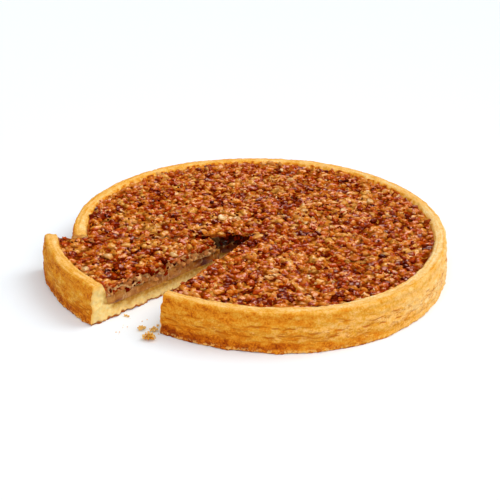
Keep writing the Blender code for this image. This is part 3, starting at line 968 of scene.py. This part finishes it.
def topping(name, sector, arc_count, pieces, made_of, node):
    """The caramel that holds the walnuts. It coats most of each piece and hangs raggedly over the cuts."""
    points, triangles = filling_layer(
        sector, TOPPING_LEVEL, CREAM_LEVEL + 0.05 * MM, 0.1 * MM, 0.6 * MM, arc_count, SURFACE_STEP
    )
    to_wall = inside_radius(TOPPING_LEVEL) - sector.unrolled(points)[:, 1]
    at_cut = ease(1 - (sector.inset(points) - sector.loss * 0.1) / (0.8 * MM)) * (to_wall > 3 * MM)
    below = TOPPING_LEVEL - points[:, 2]
    skin_depth = 1.5 * MM + bumps(points * (1, 1, 0), (1.3, 3.6, 30))
    skin = ease(1 - (below - skin_depth) / (0.6 * MM))
    # Hollows under the skin at the cuts: carved in here, and painted with shade by the material.
    hollow = ease(2.2 * fuzz(points, (5, 5, 3), 31) + 0.3)
    hollow *= bell(below, 3.3 * MM, 1.7 * MM) * (1 - skin)
    overhang = bumps(points, (0.8, 6, 32), (0.7, 2.6, 33)) * skin
    lumps = (0.5 * MM + bumps(points, (1.1, 3, 34), (0.4, 1.4, 35))) * (1 - skin)
    sideways = at_cut * (overhang + lumps - 2.6 * MM * hollow)
    moved = points + point_normals(points, triangles) * (1, 1, 0) * sideways[:, None]
    moved[:, 2] += seam(points) * np.clip(below / (TOPPING_LEVEL - CREAM_LEVEL), 0, 1)

    on_top = below < 0.01 * MM
    lifted, tone = np.zeros(len(points)), np.full(len(points), 0.4)
    lifted[on_top], tone[on_top] = over_pieces(points[on_top], pieces)
    at_wall = ease(1 - to_wall / (2 * MM))
    waves = bumps(points, (0.3, 2.4, 36), (0.4, 9, 37))
    moved[:, 2] += on_top * (CARAMEL_DROP + np.maximum(lifted, 1.8 * MM * at_wall) + waves)
    # The gaps between the pieces, which the material paints with shade and leaves less glossy.
    gap = (1 - ease(lifted / (0.9 * MM))) * (1 - at_wall) * on_top
    # Painted shade in the tart's notch, near its tip; none on the slice.
    to_tip = np.linalg.norm(points[:, :2] - sector.tip, axis=1)
    brown = ease(1.4 - to_tip / sector.darkened) * (sector.loss == 0)
    marks = {"flesh": at_cut * (1 - skin * 0.85), "hollow": hollow, "tone": tone, "gap": gap, "brown": brown}
    new_piece(name, moved, triangles, made_of, "walnut_topping", node, sector.place, **marks)


# ---------------------------------------------------------------- walnuts and crumbs


def unit_sphere(detail):
    """Points and triangles of an icosphere of radius 1."""
    bm = bmesh.new()
    bmesh.ops.create_icosphere(bm, subdivisions=detail, radius=1)
    return arrays(bm)


def chopped(count, detail, draw):
    """Chopped pieces of about radius 1, each a ball cut by soft random planes, and the triangles of one."""
    sphere, triangles = unit_sphere(detail)
    planes = draw.normal(size=(count, PLANES, 3))
    planes /= np.linalg.norm(planes, axis=2, keepdims=True)
    depth = draw.uniform(0.5, 1.0, (count, PLANES))
    facing = np.einsum("vk,cpk->cvp", sphere, planes) / depth[:, None]
    radius = (np.maximum(facing, 0) ** EDGE_SHARPNESS).sum(axis=2) ** (-1 / EDGE_SHARPNESS)
    radius = np.minimum(radius, 1.15)
    spread = (sphere[None] + 9 * np.arange(count)[:, None, None]).reshape(-1, 3)
    wrinkle = 0.22 * fuzz(spread * MM, 0.75, 41) + 0.08 * fuzz(spread * MM, 0.4, 42)
    radius = radius * (1 + wrinkle.reshape(radius.shape))
    return sphere[None] * radius[..., None], triangles


def turned(shapes, spin, draw, tilt):
    """The shapes, each turned about the vertical by its spin after a random tilt of up to so much."""
    count = len(shapes)
    lean = draw.uniform(-tilt, tilt, count)
    roll = draw.uniform(-tilt, tilt, count)
    made = shapes
    for angle, (a, b) in ((roll, (0, 2)), (lean, (1, 2)), (spin, (0, 1))):
        cosine, sine = np.cos(angle)[:, None], np.sin(angle)[:, None]
        made = made.copy()
        first, second = made[..., a].copy(), made[..., b].copy()
        made[..., a] = first * cosine - second * sine
        made[..., b] = first * sine + second * cosine
    return made


def joined(shapes, triangles):
    """One list of points and one of triangles for many shapes with the same triangles."""
    count, size = shapes.shape[:2]
    starts = np.arange(count)[:, None, None] * size
    return shapes.reshape(-1, 3), (triangles[None] + starts).reshape(-1, 3)


def walnuts(prefix, sector, groups, kinds, node):
    """The walnut pieces of one topping, as one mesh for each kind."""
    for number, kind in enumerate(KIND_NAMES):
        points, faces, tones = [], [], []
        start = 0
        for shapes, triangles, which, tone in groups:
            mine = which == number
            some, theirs = joined(shapes[mine], triangles)
            points.append(some)
            faces.append(theirs + start)
            tones.append(np.repeat(tone[mine], shapes.shape[1]))
            start += len(some)
        points, faces = np.concatenate(points), np.concatenate(faces)
        name = f"{prefix}_walnuts_{kind}"
        # Low parts of each piece take the darker colours: partly the caramel over them, partly painted shade
        # between the pieces.
        top = ease_over(points[:, 2], TOPPING_LEVEL - 0.9 * MM, 2.6 * MM)
        marks = {"tone": np.concatenate(tones), "top": top}
        made = new_piece(name, points, faces, kinds[kind], "walnut_topping", node, sector.place, **marks)
        made.data.set_sharp_from_angle(angle=math.radians(38))


def random_sizes(draw, lengths, widths, heights):
    """Each piece's length, width and height. The last two are drawn as shares of its length."""
    many = len(lengths)
    shares = [np.ones(many), draw.uniform(*widths, many), draw.uniform(*heights, many)]
    return lengths[:, None] * np.column_stack(shares)


def group(centres, size, spin, detail, tilt, which, draw):
    """Chopped pieces about these centres, with the triangles of one, and each one's kind and tone."""
    shapes, triangles = chopped(len(centres), detail, draw)
    shapes = turned(shapes * size[:, None] / 2, spin, draw, tilt) + centres[:, None]
    return shapes, triangles, which, draw.uniform(0, 1, len(centres))


def walnut_groups(sector, pieces, draw):
    """The common pieces that stay bare, some large and many small ones, and those at the cuts."""
    groups = []
    bare = pieces[draw.uniform(0, 1, len(pieces)) < BARE_SHARE]
    for detail, mine in ((2, bare["length"] < FINE_LENGTH), (3, bare["length"] >= FINE_LENGTH)):
        some = bare[mine]
        size = np.column_stack([some["length"], some["width"], some["height"]])
        height = TOPPING_LEVEL + CARAMEL_DROP + some["stands"] + 0.55 * MM - some["height"] / 2
        centres = np.column_stack([some["x"], some["y"], height])
        groups.append(group(centres, size, some["spin"], detail, 0.35, some["kind"].astype(int), draw))

    spots = np.column_stack([pieces["x"], pieces["y"]])
    for share, sizes, thickness, stands, detail, tilt, from_wall in (
        (0.05, (6.5, 9.5), (0.32, 0.45), (0.6, 1.8), 3, 0.3, 4 * MM),
        (0.6, (1.8, 3.6), (0.5, 0.9), (0.2, 1.8), 1, 0.8, 1.4 * MM),
    ):
        picked = draw.choice(len(pieces), round(len(pieces) * share), replace=False)
        places = spots[picked] + draw.uniform(-2.4, 2.4, (len(picked), 2)) * MM
        places = places[inside_filling(sector, places, sizes[0] * 0.35 * MM, from_wall)]
        many = len(places)
        size = random_sizes(draw, draw.uniform(*sizes, many) * MM, (0.5, 0.85), thickness)
        height = TOPPING_LEVEL + draw.uniform(*stands, many) * MM - size[:, 2] / 2
        which = np.searchsorted(KIND_SHARES, draw.uniform(0.001, 0.999, many))
        which[(draw.uniform(0, 1, many) < 0.1) & (size[:, 0] < 3 * MM)] = KIND_NAMES.index("flesh")
        spin = draw.uniform(0, 2 * math.pi, many)
        groups.append(group(np.column_stack([places, height]), size, spin, detail, tilt, which, draw))
    return [*groups, *(cut_group(sector, end, draw) for end in (0, 1))]


def cut_group(sector, end, draw):
    """Walnut pieces that the knife left standing in one of the topping's two cut faces."""
    direction = sector.directions(1)[end]
    outward = np.array([direction[1], -direction[0]]) * (1 - 2 * end)
    reach = sector.reach(direction[None], np.array([inside_radius(TOPPING_LEVEL) - 3 * MM]))[0]
    many = round((reach - sector.loss) / CUT_PIECE_SPACING)
    place = np.linspace(sector.loss + 1 * MM, reach, many) + draw.uniform(-1, 1, many) * MM
    aside = draw.uniform(-1.2, 0.1, many) * MM
    flat = sector.tip + direction * place[:, None] + outward * aside[:, None]
    height = draw.uniform(CREAM_LEVEL - 0.5 * MM, TOPPING_LEVEL - 1.1 * MM, many)
    height[draw.uniform(0, 1, many) < 0.12] -= 2.4 * MM
    size = random_sizes(draw, draw.triangular(2, 3.4, 6, many) * MM, (0.6, 1), (0.5, 0.9))
    choice = draw.choice(["flesh", "amber", "brown", "dark"], many, p=(0.68, 0.14, 0.12, 0.06))
    glazed = height > TOPPING_LEVEL - draw.uniform(1.8, 3.4, many) * MM
    choice[glazed] = draw.choice(["pale", "amber", "brown"], many, p=(0.2, 0.5, 0.3))[glazed]
    # Painted shade: pieces deep in the tart's notch are of the dark kind.
    if not sector.loss:
        choice[place < sector.darkened * draw.uniform(0.5, 1.3, many)] = "dark"
    which = np.array([KIND_NAMES.index(name) for name in choice])
    spin = draw.uniform(0, 2 * math.pi, many)
    return group(np.column_stack([flat, height]), size, spin, 2, 1.2, which, draw)


def crumbs(made_of):
    """Crumbs of crust from the cut: heaps of grains, the largest with some browned skin, and specks."""
    draw = np.random.default_rng(77)
    lumps, sizes, bakes = [], [], []
    for x, y, length, height in CRUMBS:
        for _ in range(4 + round((length / (0.95 * MM)) ** 2)):
            toward = draw.normal(size=3)
            toward *= draw.uniform(0.2, 1) / np.linalg.norm(toward)
            size = draw.uniform(1, 2) * MM * min(1, length / (3.5 * MM))
            reach = (np.array([1.3 * length, 1.1 * length, 1.1 * height]) - size) / 2
            lumps.append(np.array([x, y, height / 2]) + toward * reach)
            sizes.append(size * draw.uniform(0.7, 1, 3))
            skin = length > 7 * MM and toward[1] < -0.1 and abs(toward[0]) < 0.5
            bakes.append(draw.uniform(0.16, 0.4) + 0.36 * skin)
    for _ in range(SPECK_COUNT):
        size = draw.uniform(0.35, 0.9) * MM
        lumps.append((draw.uniform(-92, -58) * MM, draw.uniform(-130, -98) * MM, size * 0.4))
        sizes.append((size, size, size))
        bakes.append(0.35)
    shapes, triangles = chopped(len(lumps), 2, draw)
    spin = draw.uniform(0, 2 * math.pi, len(lumps))
    shapes = turned(shapes * np.array(sizes)[:, None] / 2, spin, draw, 0.4) + np.array(lumps)[:, None]
    shapes[..., 2] = np.maximum(shapes[..., 2], 0)
    points, faces = joined(shapes, triangles)
    bake = np.repeat(bakes, shapes.shape[1])
    marks = dict.fromkeys(("crack", "soak", "rim", "scorch", "split", "foot"), 0 * bake)
    new_piece("crumbs", points, faces, made_of, "pastry", bake=bake, cut=0.2 * (bake < 0.42), **marks)


# ---------------------------------------------------------------- studio


def add_light(name, kind, toward, place=(0, 0, 0), **settings):
    """A light that shines from its place towards a point. A sun shines everywhere along that line."""
    light = bpy.data.lights.new(name, kind)
    for key, value in settings.items():
        setattr(light, key, value)
    made = new_object(name, light, place)
    made.rotation_euler = (Vector(toward) - Vector(place)).to_track_quat("-Z", "Y").to_euler()
    return made


def from_side(azimuth, elevation):
    """How light travels that comes from this azimuth, counter-clockwise from +X, and elevation."""
    a, e = math.radians(azimuth), math.radians(elevation)
    return Vector((-math.cos(a) * math.cos(e), -math.sin(a) * math.cos(e), -math.sin(e)))


def studio():
    """A white floor and room, a soft key from the right, a fill from the front, and softboxes for the gloss.

    Gloss shows the softboxes alone, and only gloss shows them.
    """
    bm = bmesh.new()
    bmesh.ops.create_grid(bm, x_segments=1, y_segments=1, size=15)
    mesh = bpy.data.meshes.new("floor")
    bm.to_mesh(mesh)
    bm.free()
    white = Recipe("floor_white", Base_Color=FLOOR_WHITE, Roughness=0.6, Specular_IOR_Level=0.2)
    mesh.materials.append(white.material)
    new_object("floor", mesh)
    world = bpy.data.worlds.new("studio")
    world.use_nodes = True
    background = world.node_tree.nodes["Background"]
    background.inputs["Color"].default_value = ROOM_WHITE
    background.inputs["Strength"].default_value = 0.32
    world.cycles_visibility.glossy = False
    bpy.context.scene.world = world
    key_light = add_light("key", "SUN", from_side(18, 48), energy=1.8, angle=math.radians(44))
    fill_light = add_light("fill", "SUN", from_side(-95, 54), energy=1.7, angle=math.radians(80))
    key_light.visible_glossy = fill_light.visible_glossy = False
    shape = {"shape": "RECTANGLE", "size": 0.8, "size_y": 0.5, "color": WARM_GLOSS}
    for side, place, power in (("back", (0.1, 0.62, 0.85), 9.5), ("right", (0.8, -0.1, 0.7), 5)):
        softbox = add_light(f"softbox_{side}", "AREA", (0, 0, 0), place, energy=power, **shape)
        softbox.visible_diffuse = False


def camera():
    data = bpy.data.cameras.new("camera")
    data.lens = CAMERA_LENS
    data.sensor_width = 36
    data.clip_start, data.clip_end = 0.05, 20
    made = new_object("camera", data, CAMERA_PLACE)
    turn = (CAMERA_AIM - CAMERA_PLACE).to_track_quat("-Z", "Y").to_matrix()
    made.rotation_euler = (turn @ Matrix.Rotation(CAMERA_ROLL, 3, "Z")).to_euler()
    bpy.context.scene.camera = made


# ---------------------------------------------------------------- everything together


def slice_place():
    """Where the slice lies: turned about its tip, then drawn out of the notch."""
    tip = Vector((*SLICE_TIP, 0))
    turned_about_tip = Matrix.Rotation(SLICE_TURN, 4, "Z") @ Matrix.Translation(-tip)
    return Matrix.Translation(SLICE_PULL + tip) @ turned_about_tip


def portion(prefix, sector, ray_count, arc_count, materials, seed):
    """One portion: its shell, cream, caramel and walnuts."""
    draw = np.random.default_rng(seed)
    shell(f"{prefix}_shell", sector, ray_count, materials["pastry"], f"{prefix}_crust")
    cream(f"{prefix}_cream_layer", sector, arc_count, materials["cream"], f"{prefix}_cream")
    pieces = walnut_places(sector, draw)
    topping(f"{prefix}_caramel", sector, arc_count, pieces, materials["caramel"], f"{prefix}_topping")
    walnuts(prefix, sector, walnut_groups(sector, pieces, draw), materials, f"{prefix}_topping")


def main():
    materials = {"pastry": pastry_material(), "cream": cream_material(), "caramel": caramel_material()}
    for name, _, shade, body, light in KINDS:
        materials[name] = walnut_material(f"walnut_{name}", shade, body, light)
    start = NOTCH_MIDDLE + NOTCH_ANGLE / 2
    tart = Sector(NOTCH_TIP, start, start + 2 * math.pi - NOTCH_ANGLE, TART_NOTCH_SHADE)
    start = SLICE_MIDDLE - SLICE_ANGLE / 2
    cut_slice = Sector(SLICE_TIP, start, start + SLICE_ANGLE, SLICE_DARKENED, TIP_LOSS, slice_place())
    portion("tart", tart, TART_RAYS, TART_ARC, materials, seed=5)
    portion("slice", cut_slice, SLICE_RAYS, SLICE_ARC, materials, seed=6)
    crumbs(materials["pastry"])
    studio()
    camera()
    bpy.context.scene.view_settings.view_transform = "Standard"


main()
